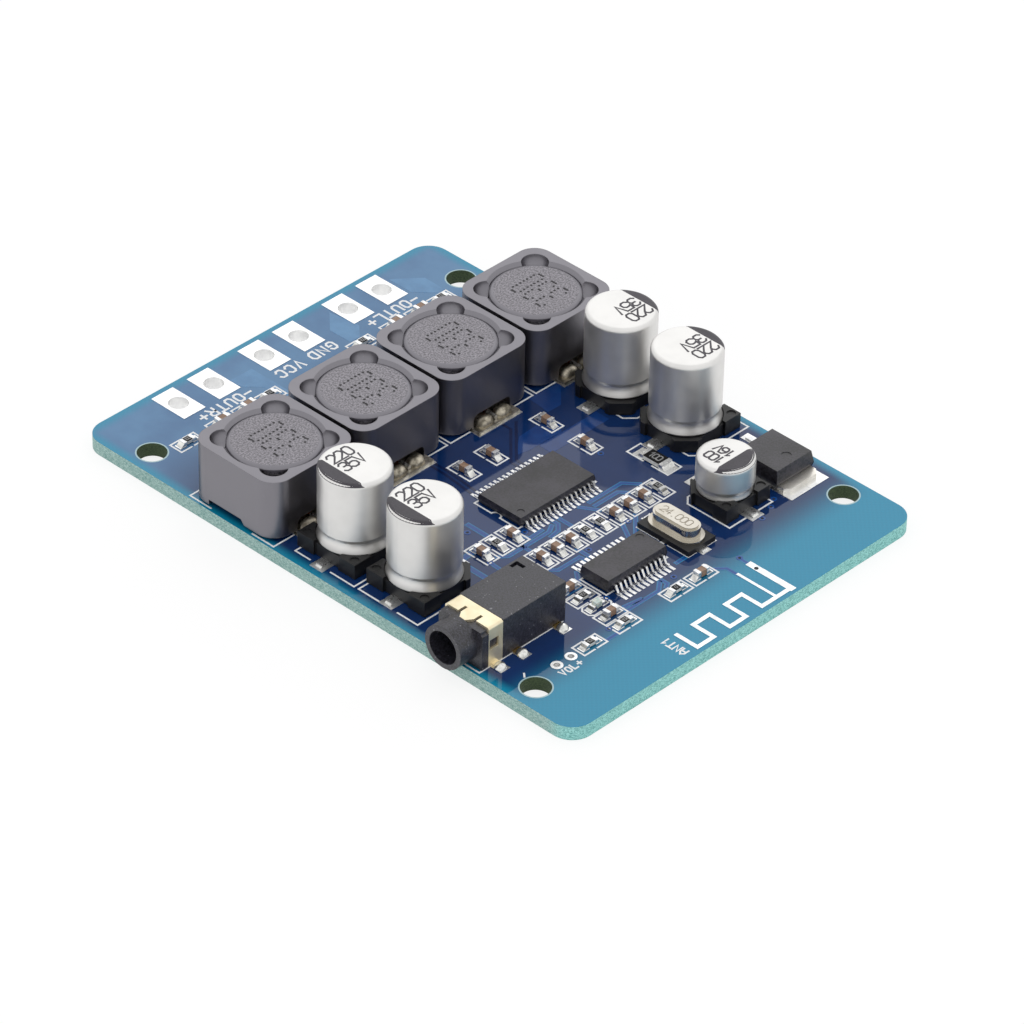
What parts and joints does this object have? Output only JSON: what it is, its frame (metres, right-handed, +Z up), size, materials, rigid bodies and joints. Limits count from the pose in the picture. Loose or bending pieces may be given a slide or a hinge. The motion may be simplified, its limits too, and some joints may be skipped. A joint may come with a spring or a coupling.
{
  "type": "stereo audio amplifier board",
  "caption": "Flat circuit board that amplifies stereo sound from a plug jack or a wireless receiver, with square power inductors, round can capacitors and wire pads along one edge.",
  "frame": {"origin": "centre of the four mounting holes, on the underside of the board", "axes": "+X along the board from the wire pads to the antenna, +Y across the board from the jack's mouth to the rear edge, +Z up from the underside to the components"},
  "size_m": [0.07, 0.0525, 0.0119],
  "materials": {
    "board": "glossy blue solder mask over glass laminate",
    "tinned": "bright tin",
    "solder": "smooth solder",
    "antenna": "bare tinned strip",
    "ferrite": "matt grey ferrite",
    "drum_ferrite": "speckled grey ferrite",
    "copper_wire": "enamelled copper",
    "can": "satin drawn aluminium",
    "base_plastic": "black moulded",
    "chip_plastic": "charcoal moulded",
    "crystal_case": "bright drawn case",
    "jack_plastic": "charcoal moulded, fine grain",
    "clip_metal": "pale gold plating",
    "contact_metal": "plated spring strip",
    "ceramic": "brown ceramic",
    "alumina": "white ceramic",
    "glaze": "black glaze",
    "led_lens": "milky lens"
  },
  "bodies": {
    "root": {"circuit_board": "board", "terminal_pads": "tinned", "volume_pads": "tinned", "component_lands": "tinned", "antenna_trace": "antenna", "solder_joints": "solder", "inductor_1_shield": "ferrite", "inductor_1_drum": "drum_ferrite", "inductor_1_winding": "copper_wire", "inductor_1_terminals": "tinned", "inductor_2_shield": "ferrite", "inductor_2_drum": "drum_ferrite", "inductor_2_winding": "copper_wire", "inductor_2_terminals": "tinned", "inductor_3_shield": "ferrite", "inductor_3_drum": "drum_ferrite", "inductor_3_winding": "copper_wire", "inductor_3_terminals": "tinned", "inductor_4_shield": "ferrite", "inductor_4_drum": "drum_ferrite", "inductor_4_winding": "copper_wire", "inductor_4_terminals": "tinned", "capacitor_1_can": "can", "capacitor_1_base": "base_plastic", "capacitor_1_leads": "tinned", "capacitor_2_can": "can", "capacitor_2_base": "base_plastic", "capacitor_2_leads": "tinned", "capacitor_3_can": "can", "capacitor_3_base": "base_plastic", "capacitor_3_leads": "tinned", "capacitor_4_can": "can", "capacitor_4_base": "base_plastic", "capacitor_4_leads": "tinned", "small_capacitor_can": "can", "small_capacitor_base": "base_plastic", "small_capacitor_leads": "tinned", "amplifier_chip_body": "chip_plastic", "amplifier_chip_leads": "tinned", "amplifier_chip_heat_pad": "tinned", "receiver_chip_body": "chip_plastic", "receiver_chip_leads": "tinned", "crystal_can": "crystal_case", "crystal_carrier": "base_plastic", "crystal_leads": "tinned", "regulator_body": "chip_plastic", "regulator_tab": "tinned", "regulator_leads": "tinned", "jack_housing": "jack_plastic", "jack_sleeve_clip": "clip_metal", "jack_tip_contact": "contact_metal", "jack_ring_contact": "contact_metal", "jack_switch_contact": "contact_metal", "ceramic_capacitor_bodies": "ceramic", "ceramic_capacitor_ends": "tinned", "resistor_bodies": "alumina", "resistor_coats": "glaze", "resistor_ends": "tinned", "indicator_led_body": "led_lens", "indicator_led_ends": "tinned"}
  },
  "joints": []
}
